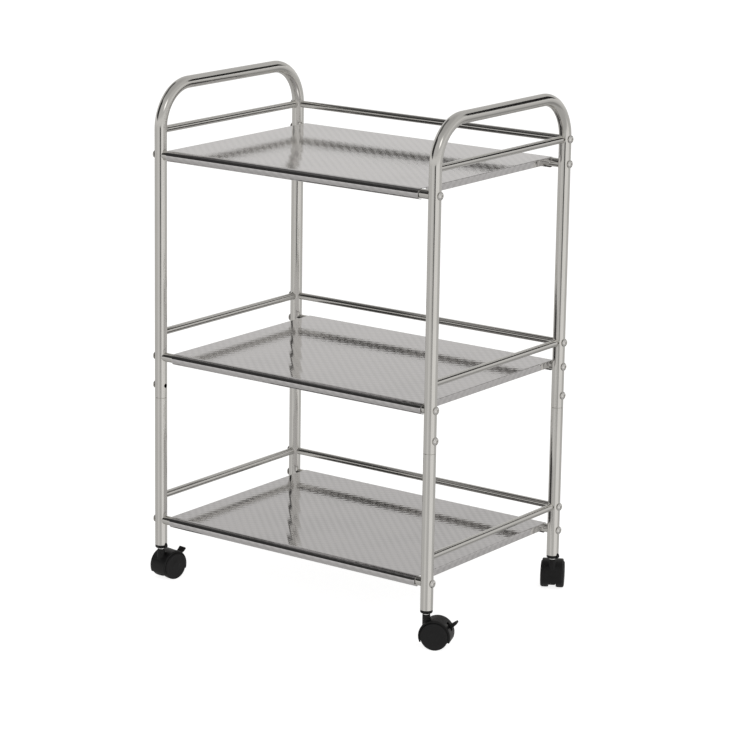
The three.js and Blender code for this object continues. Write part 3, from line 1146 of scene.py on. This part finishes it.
@dataclass
class Caster:
    """A twin-wheel swivel caster, built with its stem on Z and its wheels trailing along X."""

    corner: str
    hood_radius: float = 28.2 * MM
    hood_thickness: float = 2.9 * MM
    hood_half_width: float = 19.0 * MM
    hood_shoulder: float = 3.0 * MM
    hood_from: float = -20.0
    hood_to: float = 205.0
    hood_point: float = 12.0
    hood_steps: int = 60
    hood_end_share: float = 0.22
    web_from: float = -28.0
    web_to: float = 213.0
    web_half_width: float = 6.3 * MM
    neck_radius: float = 6.9 * MM
    neck_foot: float = 18.0 * MM
    neck_top: float = 57.8 * MM
    stem_radius: float = 4.0 * MM
    stem_play: float = 0.45 * MM
    ring_radius: float = 5.9 * MM
    ring_play: float = 0.3 * MM
    rim_radius: float = 10.8 * MM
    key_root: float = 9.5 * MM
    key_inner: float = 11.2 * MM
    key_outer: float = 12.8 * MM
    key_rise: float = 4.6 * MM
    key_half_turn: float = math.radians(17)
    key_steps: int = 12
    axle_radius: float = 3.0 * MM
    axle_half_length: float = 16.0 * MM
    journal_play: float = 0.3 * MM
    wheel_play: float = 0.35 * MM
    wheel_gap: float = 0.7 * MM
    wheel_width: float = 14.2 * MM
    wheel_chamfer: float = 2.0 * MM
    bore_depth: float = 9.7 * MM
    lever_angle: float = 42.0
    lever_pivot: float = 19.0 * MM
    lever_half_width: float = 4.5 * MM
    lever_flare: float = 1.4
    lever_reach: float = 20.0 * MM
    lever_thickness: float = 3.9 * MM
    lever_pin_radius: float = 1.4 * MM
    lever_ribs: int = 4
    lever_pocket: tuple[tuple[float, float], ...] = (
        (-5, -5), (3, -6), (22, -4), (24, 22), (3, 8), (-5, 4),
    )
    turned_sides: int = 32

    def __post_init__(self) -> None:
        """Read the caster's place, heading and wheels from the frame."""
        stem_low, stem_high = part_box(f"{self.corner}_caster_stem")
        stem, axle = (stem_low + stem_high) / 2, middle(f"{self.corner}_axle")
        trail = Vector((axle.x - stem.x, axle.y - stem.y))
        self.trail = trail.length
        self.axle_height = axle.z
        self.heading = math.atan2(trail.y, trail.x)
        self.stem = Vector((stem.x, stem.y, 0.0))
        self.stem_span = (stem_low.z, stem_high.z)
        self.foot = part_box(f"{self.corner}_lower_leg")[0].z
        self.brake = f"{self.corner}_brake_lever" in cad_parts
        self.hub = (self.trail, self.axle_height)
        self.wheel_radius = self.axle_height

    def put(self, bm: bmesh.types.BMesh) -> bmesh.types.BMesh:
        """Carry a mesh from the caster's own axes to its place under the cart."""
        return moved(bm, Matrix.Translation(self.stem) @ Matrix.Rotation(self.heading, 4, "Z"))

    def hood(self) -> bmesh.types.BMesh:
        """Sweep the hood's rounded section over the wheels, thinning to a point at both ends.

        Returns:
            The hood.
        """
        rings = []
        for k in range(self.hood_steps + 1):
            degrees = self.hood_from + (self.hood_to - self.hood_from) * k / self.hood_steps
            near_end = min(degrees - self.hood_from, self.hood_to - degrees)
            thick = self.hood_thickness * max(self.hood_end_share, min(1.0, near_end / self.hood_point))
            w, drop = self.hood_half_width, self.hood_shoulder
            outer = fillet([(-w, -drop), (-w, 0), (w, 0), (w, -drop)], drop * 0.9, 4, closed=False)
            edge = min(thick, drop) * 0.6
            foot, inset = -drop - edge * 0.3, drop * 0.8
            under = [(w - edge * 0.5, foot), (w - inset, -thick), (-w + inset, -thick),
                     (-w + edge * 0.5, foot)]
            a = math.radians(degrees)
            rings.append([
                Vector((self.hub[0] + (self.hood_radius + r) * math.cos(a), y,
                        self.hub[1] + (self.hood_radius + r) * math.sin(a)))
                for y, r in [*outer, *under]
            ])
        return loft(rings, caps=True)

    def hub_turn(self, quarter: float = 1.0) -> Matrix:
        """Give the move that lays a mesh turned about Z on the hub, along Y, tipped either way."""
        place = Matrix.Translation((self.hub[0], 0, self.hub[1]))
        return place @ Matrix.Rotation(quarter * math.pi / 2, 4, "X")

    def lever_place(self) -> tuple[float, float]:
        """Give the brake lever's pivot, in the caster's own X and Z."""
        a = math.radians(self.lever_angle)
        return self.hub[0] + self.lever_pivot * math.cos(a), self.hub[1] + self.lever_pivot * math.sin(a)

    def housing(self) -> bmesh.types.BMesh:
        """Mould the hood, the web between the wheels and the neck in one piece.

        Returns:
            The housing.
        """
        web_edge = arc(self.hub, self.hood_radius - 1.2 * MM, self.web_from, self.web_to, 48)
        web = slab(web_edge, self.web_half_width, 0.6 * MM)
        neck = revolve(
            [(self.neck_radius, self.neck_foot), (self.neck_radius, self.neck_top - 1.2 * MM),
             (self.neck_radius - 0.35 * MM, self.neck_top - 0.35 * MM),
             (self.neck_radius - 1.2 * MM, self.neck_top)], 48)
        gusset = slab([(0, self.neck_foot), (self.hub[0], self.neck_foot),
                       (self.hub[0], self.hub[1] + self.hood_radius - 1.5 * MM),
                       (self.neck_radius + 4 * MM, self.hub[1] + self.hood_radius - 1.8 * MM),
                       (self.neck_radius - MM, self.neck_top - 6.5 * MM), (0, self.neck_top - 6 * MM)],
                      self.web_half_width * 0.96, 0.5 * MM)
        solid = combine(self.hood(), [web, neck, gusset], Cut.JOIN)
        reach = self.neck_top - self.stem_span[0] + MM
        room = self.stem_radius + self.stem_play
        bore = revolve([(room, self.neck_top - reach), (room, self.neck_top + MM)], self.turned_sides)
        room = self.axle_radius + self.journal_play
        through = self.hood_half_width + MM
        journal = moved(revolve([(room, -through), (room, through)], self.turned_sides), self.hub_turn())
        cutters = [bore, journal]
        if self.brake:
            px, pz = self.lever_place()
            pocket = [(px + x * MM, pz + z * MM) for x, z in self.lever_pocket]
            cutters.append(slab(pocket, self.lever_half_width + 0.5 * MM))
        solid = combine(solid, cutters, Cut.SUBTRACT)
        return softened(solid, 0.35 * MM)

    def lever(self) -> bmesh.types.BMesh:
        """Mould the brake pedal, with its turned-up tip and grip ribs.

        Returns:
            The pedal.
        """
        px, pz = self.lever_place()
        half = self.lever_thickness / 2 / MM
        upper = [(21.2, 12.2 + half * 0.5), (14.5, 7.0 + half), (8, 3.2 + half), (-2, 3)]
        lower = [(-3.2, -2.2), (2, -3), (9, 1.8 - half), (17, 5.8 - half), (23.2, 10.0)]
        outline = fillet([(px + x * MM, pz + z * MM) for x, z in lower + upper], 1.4 * MM, 4)
        pedal = slab(outline, self.lever_half_width, 0.8 * MM)
        for v in pedal.verts:
            v.co.y *= 1 + self.lever_flare * min(max((v.co.x - px) / self.lever_reach - 0.5, 0.0), 0.5)
        turn = Matrix.Translation((px, 0, pz)) @ Matrix.Rotation(math.pi / 2, 4, "X")
        reach = self.lever_half_width + 1.2 * MM
        pin = moved(revolve([(self.lever_pin_radius, -reach), (self.lever_pin_radius, reach)], 24), turn)
        ribs = []
        for k in range(self.lever_ribs):
            x = px + (11.0 + 2.4 * k) * MM
            z = pz + (4.75 + half + 1.55 * k) * MM
            ribs.append(slab(arc((x, z), 0.55 * MM, 0, 330, 11), self.lever_half_width - 1.1 * MM))
        return combine(pedal, [pin, *ribs], Cut.JOIN)

    def wheel(self, side: float) -> bmesh.types.BMesh:
        """Turn one wheel disc: a crowned tread, a bevelled rim and a shallow dish with a hub cap.

        Args:
            side: 1 for the disc on the left of the trail, -1 for the one on the right.

        Returns:
            The wheel.
        """
        gap, width = self.web_half_width + self.wheel_gap, self.wheel_width
        outer, r, c = gap + width, self.wheel_radius, self.wheel_chamfer
        bore_radius = self.axle_radius + self.wheel_play
        profile = [
            (bore_radius, gap), (r - 1.2 * MM, gap), (r - 0.25 * MM, gap + 1.0 * MM),
            (r, gap + width * 0.35), (r, outer - c - 1.5 * MM), (r - 0.35 * MM, outer - c),
            (r - c * 0.55, outer - c * 0.38), (r - c * 1.25, outer - 0.05 * MM), (r - c * 1.9, outer),
            (r - c * 2.15, outer - 0.3 * MM), (r - c * 2.5, outer - 0.35 * MM),
            (r * 0.34, outer - 0.35 * MM), (r * 0.325, outer - 0.1 * MM), (r * 0.29, outer),
            (0.0, outer + 0.05 * MM),
        ]
        disc = revolve(profile, 96)
        bore = revolve([(bore_radius, gap - MM), (bore_radius, gap + self.bore_depth)], self.turned_sides)
        return moved(combine(disc, [bore], Cut.SUBTRACT), self.hub_turn(-side))

    def socket(self) -> bmesh.types.BMesh:
        """Mould the socket pressed into the leg, with its rim and the key tab up its side.

        Returns:
            The socket, in the row's axes.
        """
        node = f"{self.corner}_caster_socket"
        low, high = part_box(node)
        tab_top = self.foot + self.key_rise
        bore, body, rim = self.stem_radius + self.stem_play, self.rim_radius - 1.1 * MM, self.rim_radius
        base, flat = low.z, self.foot - 0.3 * MM
        profile = fillet([(bore, base), (rim - 1.6 * MM, base), (rim, base + 1.6 * MM), (rim, flat),
                          (body, flat), (body, high.z), (bore, high.z)], 0.5 * MM, 3)
        insert = moved(revolve(profile, 56, closed=True), Matrix.Translation(self.stem))
        centre = (low + high) / 2
        lean = Vector((centre.x - self.stem.x, centre.y - self.stem.y))
        angle = math.atan2(lean.y, lean.x)
        root, inner, outer = self.key_root, self.key_inner, self.key_outer
        rings = []
        for k in range(self.key_steps + 1):
            across = 2 * k / self.key_steps - 1
            a = angle + self.key_half_turn * across
            tall = tab_top - 4.5 * MM * abs(across) ** 3
            section = fillet([(root, base + 0.9 * MM), (outer - 0.8 * MM, base + 0.9 * MM),
                              (outer, base + 2.2 * MM), (outer, tall - 1.2 * MM), (inner, tall),
                              (inner, flat - 0.05 * MM), (root, flat - 0.05 * MM)], 0.4 * MM, 2)
            rings.append([Vector((r * math.cos(a), r * math.sin(a), z)) for r, z in section])
        tab = moved(loft(rings, caps=True), Matrix.Translation(self.stem))
        return combine(insert, [tab], Cut.JOIN)

    def pin(self) -> bmesh.types.BMesh:
        """Turn the stem with the ring that carries the load.

        Returns:
            The stem, in the row's axes.
        """
        low, high = self.stem_span
        ring_low = self.neck_top + self.ring_play
        ring_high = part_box(f"{self.corner}_caster_socket")[0].z - self.ring_play
        profile = [
            (0.0, low), (self.stem_radius - 0.6 * MM, low), (self.stem_radius, low + 0.6 * MM),
            (self.stem_radius, ring_low), (self.ring_radius - 0.3 * MM, ring_low),
            (self.ring_radius, ring_low + 0.3 * MM), (self.ring_radius, ring_high - 0.3 * MM),
            (self.ring_radius - 0.3 * MM, ring_high), (self.stem_radius, ring_high),
            (self.stem_radius, high - 1.2 * MM), (self.stem_radius - 1.2 * MM, high), (0.0, high),
        ]
        return moved(revolve(profile, 48), Matrix.Translation(self.stem))

    def build(self, shop: Workshop) -> None:
        """Build every piece of the caster.

        Args:
            shop: The workshop.
        """
        c = self.corner
        shop.add(f"{c}_socket_piece", self.socket(), Slot.HOUSING, ROOT_BODY, [f"{c}_caster_socket"])
        shop.add(f"{c}_stem_piece", self.pin(), Slot.PIN, ROOT_BODY, [f"{c}_caster_stem"])
        shop.add(f"{c}_housing_piece", self.put(self.housing()), Slot.HOUSING, f"{c}_caster",
                 [f"{c}_caster_housing"])
        half, radius, lead = self.axle_half_length, self.axle_radius, 0.4 * MM
        rod = revolve([(radius - lead, -half), (radius, -half + lead), (radius, half - lead),
                       (radius - lead, half)], self.turned_sides)
        shop.add(f"{c}_axle_piece", self.put(moved(rod, self.hub_turn())), Slot.PIN, f"{c}_caster",
                 [f"{c}_axle"])
        for name, side in (("left", 1.0), ("right", -1.0)):
            shop.add(f"{c}_{name}_wheel_disc", self.put(self.wheel(side)), Slot.WHEEL,
                     f"{c}_{name}_wheel_body", [f"{c}_{name}_wheel"])
        if self.brake:
            shop.add(f"{c}_brake_pedal", self.put(self.lever()), Slot.HOUSING,
                     f"{c}_brake_lever_body", [f"{c}_brake_lever"])


# ------------------------------------------------------------------ studio


@dataclass(frozen=True)
class Card:
    """A soft-edged reflector or flag, as a window of directions seen from the cart."""

    azimuth: float
    elevation: float
    half_width: float
    half_height: float
    blur: float
    level: float


@dataclass(frozen=True)
class StudioSky:
    """The light tent round the cart: pale all round, with a few darker flags that draw the tubes.

    Azimuths are degrees from +Y towards +X, elevations are degrees above the floor.
    """

    tint: tuple[float, float, float] = (1.0, 0.985, 0.965)
    ramp: tuple[tuple[float, float], ...] = (
        (-90.0, 0.42), (-40.0, 0.44), (-20.0, 0.50), (-6.0, 0.54), (2.0, 0.64), (9.0, 0.665),
        (13.5, 0.61), (17.0, 0.53), (30.0, 0.52), (45.0, 0.52), (65.0, 0.42), (90.0, 0.42),
    )
    cards: tuple[Card, ...] = (
        Card(azimuth=98, elevation=-14, half_width=32, half_height=13, blur=12, level=0.78),
        Card(azimuth=-172, elevation=-14, half_width=16, half_height=12, blur=14, level=0.64),
        Card(azimuth=-92, elevation=50, half_width=34, half_height=14, blur=7, level=0.10),
        Card(azimuth=-128, elevation=28, half_width=24, half_height=19, blur=5, level=0.035),
        Card(azimuth=120, elevation=34, half_width=10, half_height=8, blur=10, level=1.5),
        Card(azimuth=30, elevation=-31, half_width=18, half_height=11, blur=9, level=0.30),
        Card(azimuth=145, elevation=-8, half_width=9, half_height=5, blur=3.5, level=0.03),
    )
    backdrop: float = 1.0

    def build(self) -> None:
        """Build the world."""
        world = bpy.data.worlds.new("studio_sky")
        bpy.context.scene.world = world
        world.use_nodes = True
        graph = NodeGraph(world.node_tree)
        direction = graph.add("TexCoord").outputs["Generated"]
        xyz = graph.add("SeparateXYZ", {0: direction})
        degrees = 180 / math.pi
        elevation = graph.math("MULTIPLY", graph.math("ARCSINE", xyz.outputs[2]), degrees)
        azimuth = graph.math("MULTIPLY", graph.math("ARCTAN2", xyz.outputs[0], xyz.outputs[1]), degrees)
        level = self.base(graph, elevation)
        for card in self.cards:
            level = self.with_card(graph, level, card, azimuth, elevation)
        colour = graph.tinted(level, rgba(self.tint))
        light = graph.add("Background", {"Color": colour, "Strength": 1.0})
        plain = graph.add("Background", {"Color": rgba((1.0, 1.0, 1.0)), "Strength": self.backdrop})
        seen = graph.add("LightPath").outputs["Is Camera Ray"]
        mixed = graph.add("MixShader", {0: seen, 1: light.outputs[0], 2: plain.outputs[0]})
        graph.add("OutputWorld", {"Surface": mixed.outputs[0]})

    def base(self, graph: NodeGraph, elevation: bpy.types.NodeSocket) -> bpy.types.NodeSocket:
        """Shade the tent from the floor to the zenith.

        Args:
            graph: The world's node graph.
            elevation: The direction's elevation, in degrees.

        Returns:
            The grey level's socket.
        """
        ramp = graph.add("ValToRGB", {0: graph.math("MULTIPLY_ADD", elevation, 1 / 180, 0.5)})
        stops = ramp.color_ramp.elements
        while len(stops) < len(self.ramp):
            stops.new(0.5)
        for stop, (angle, level) in zip(stops, self.ramp):
            stop.position = angle / 180 + 0.5
            stop.color = rgba((level, level, level))
        return ramp.outputs[0]

    def with_card(self, graph: NodeGraph, level: bpy.types.NodeSocket, card: Card,
                  azimuth: bpy.types.NodeSocket, elevation: bpy.types.NodeSocket) -> bpy.types.NodeSocket:
        """Hang one card in the tent.

        Args:
            graph: The world's node graph.
            level: The grey level so far.
            card: The card.
            azimuth: The direction's azimuth, in degrees.
            elevation: The direction's elevation, in degrees.

        Returns:
            The new grey level's socket.
        """
        off = graph.math("WRAP", graph.math("SUBTRACT", azimuth, card.azimuth), 180.0, -180.0)
        rise = graph.math("SUBTRACT", elevation, card.elevation)
        masks = []
        for distance, half in ((off, card.half_width), (rise, card.half_height)):
            far = graph.math("ABSOLUTE", distance)
            window = graph.add(
                "MapRange", {0: far, 1: half - card.blur / 2, 2: half + card.blur / 2, 3: 1.0, 4: 0.0},
                interpolation_type="SMOOTHSTEP",
            )
            masks.append(window.outputs[0])
        mask = graph.math("MULTIPLY", *masks)
        return graph.blend(mask, level, rgba((card.level, card.level, card.level)))


@dataclass(frozen=True)
class DarkBoard:
    """A dark board beside the cart, there only for the tubes to mirror."""

    name: str
    place: tuple[float, float, float]
    width: float
    height: float
    level: float = 0.02

    def build(self, target: Vector) -> None:
        """Stand the board up as a stage piece.

        Args:
            target: The point it faces.
        """
        bm = bmesh.new()
        bmesh.ops.create_grid(bm, x_segments=1, y_segments=1, size=0.5)
        bm.transform(Matrix.Diagonal((self.width, self.height, 1.0, 1.0)))
        mesh = scene_mesh(self.name, bm)
        board = scene_object(self.name, mesh)
        level = Vector((target.x, target.y, self.place[2]))
        board.rotation_euler = (Vector(self.place) - level).to_track_quat("Z", "Y").to_euler()
        board.location = self.place
        material, graph = new_material(f"{self.name}_felt")
        shade = graph.add("Emission", {"Color": rgba((1.0, 1.0, 1.0)), "Strength": self.level})
        graph.add("OutputMaterial", {"Surface": shade.outputs[0]})
        mesh.materials.append(material)
        for ray in ("camera", "diffuse", "transmission", "shadow"):
            setattr(board, f"visible_{ray}", False)


@dataclass(frozen=True)
class SoftLight:
    """A square softbox aimed at the cart."""

    name: str
    place: tuple[float, float, float]
    size: float
    power: float
    shown_in_metal: bool = True

    def build(self, target: Vector) -> None:
        """Hang the softbox.

        Args:
            target: The point it faces.
        """
        data = bpy.data.lights.new(self.name, "AREA")
        data.shape = "SQUARE"
        data.size = self.size
        data.energy = self.power
        lamp = scene_object(self.name, data)
        lamp.location = self.place
        lamp.rotation_euler = (Vector(self.place) - target).to_track_quat("Z", "Y").to_euler()
        lamp.visible_glossy = self.shown_in_metal
        lamp.visible_camera = False


@dataclass(frozen=True)
class Floor:
    """A plain pale floor, bright enough to stay clean and still take a soft contact shadow."""

    half_size: float = 40.0
    colour: tuple[float, float, float] = (0.55, 0.55, 0.55)
    glow: float = 0.86

    def build(self) -> None:
        """Lay the floor as a stage piece."""
        bm = bmesh.new()
        bmesh.ops.create_grid(bm, x_segments=8, y_segments=8, size=self.half_size)
        mesh = scene_mesh("studio_floor", bm)
        floor = scene_object("studio_floor", mesh)
        material, graph = new_material("pale_floor")
        place = graph.add("TexCoord").outputs["Object"]
        tone = graph.spread(graph.noise(place, 0.6), 0.99, 1.0)
        colour = graph.tinted(rgba(self.colour), tone)
        shader = graph.add("BsdfPrincipled", {
            "Base Color": colour, "Roughness": 0.9, "Specular IOR Level": 0.0,
            "Emission Color": rgba((1.0, 1.0, 1.0)), "Emission Strength": self.glow,
        })
        graph.add("OutputMaterial", {"Surface": shader.outputs[0]})
        mesh.materials.append(material)
        floor.visible_glossy = False


@dataclass(frozen=True)
class ProductCamera:
    """The camera, in front of the cart to its right and looking a little down."""

    place: tuple[float, float, float] = (3.0515, -4.1779, 1.6969)
    azimuth: float = 35.925
    pitch: float = -13.311
    roll: float = 0.908
    lens: float = 142.88
    shift: float = -0.06

    def build(self) -> None:
        """Set the scene's camera."""
        data = bpy.data.cameras.new("product_camera")
        data.lens = self.lens
        data.sensor_width = 36.0
        data.shift_y = self.shift
        camera = scene_object("product_camera", data)
        yaw, pitch, roll = (math.radians(a) for a in (self.azimuth, self.pitch, self.roll))
        turn = Matrix.Rotation(yaw, 4, "Z") @ Matrix.Rotation(math.pi / 2 + pitch, 4, "X")
        camera.matrix_world = Matrix.Translation(self.place) @ turn @ Matrix.Rotation(roll, 4, "Z")
        bpy.context.scene.camera = camera


@dataclass(frozen=True)
class Studio:
    """The floor, the light tent, the softboxes and the camera."""

    sky: StudioSky = StudioSky()
    floor: Floor = Floor()
    camera: ProductCamera = ProductCamera()
    boards: tuple[DarkBoard, ...] = (DarkBoard("rear_board", (1.20, 2.08, 1.82), 0.90, 1.02, level=0.012),)
    lights: tuple[SoftLight, ...] = (
        SoftLight("key_softbox", (2.4, -1.4, 2.4), 1.3, 13.0, shown_in_metal=False),
        SoftLight("fill_softbox", (-2.2, -2.4, 2.0), 1.6, 10.0, shown_in_metal=False),
    )

    def build(self) -> None:
        """Set up the whole studio."""
        bpy.context.scene.view_settings.view_transform = "Standard"
        self.camera.build()
        self.sky.build()
        self.floor.build()
        low, high = CAD_BOUNDS
        for item in (*self.boards, *self.lights):
            item.build((Vector(low) + Vector(high)) / 2)


# ------------------------------------------------------------------ the cart


def build_tubes(shop: Workshop) -> None:
    """Build the end frames, legs, shelf tubes and guard rails.

    Args:
        shop: The workshop.
    """
    sides = [EndFrame("left"), EndFrame("right")]
    for side in sides:
        side.build(shop)
    for corner in CORNERS:
        LowerLeg(corner).build(shop)
    leg_radius = sides[0].radius
    across = (sides[0].x, sides[1].x)
    along = (sides[0].front, sides[0].rear)
    for tier in TIERS:
        for part in ("front_shelf_tube", "rear_shelf_tube", "rear_rail"):
            CopedTube(f"{tier}_{part}", Axis.X, leg_radius, across, plug_length=20 * MM).build(shop)
        for side in ("left", "right"):
            CopedTube(f"{tier}_{side}_side_rail", Axis.Y, leg_radius, along, seat=-0.4 * MM,
                      bead=0.9 * MM).build(shop)


def main() -> None:
    """Build the studio and the cart, and report each piece."""
    logging.basicConfig(level=logging.INFO, format="%(name)s: %(message)s")
    Studio().build()
    shop = Workshop()
    build_tubes(shop)
    for tier in TIERS:
        Tray(tier).build(shop)
    for side, outward in (("left", -1.0), ("right", 1.0)):
        ScrewSet(side, outward).build(shop)
    for corner in CORNERS:
        Caster(corner).build(shop)


if __name__ == "__main__":
    main()
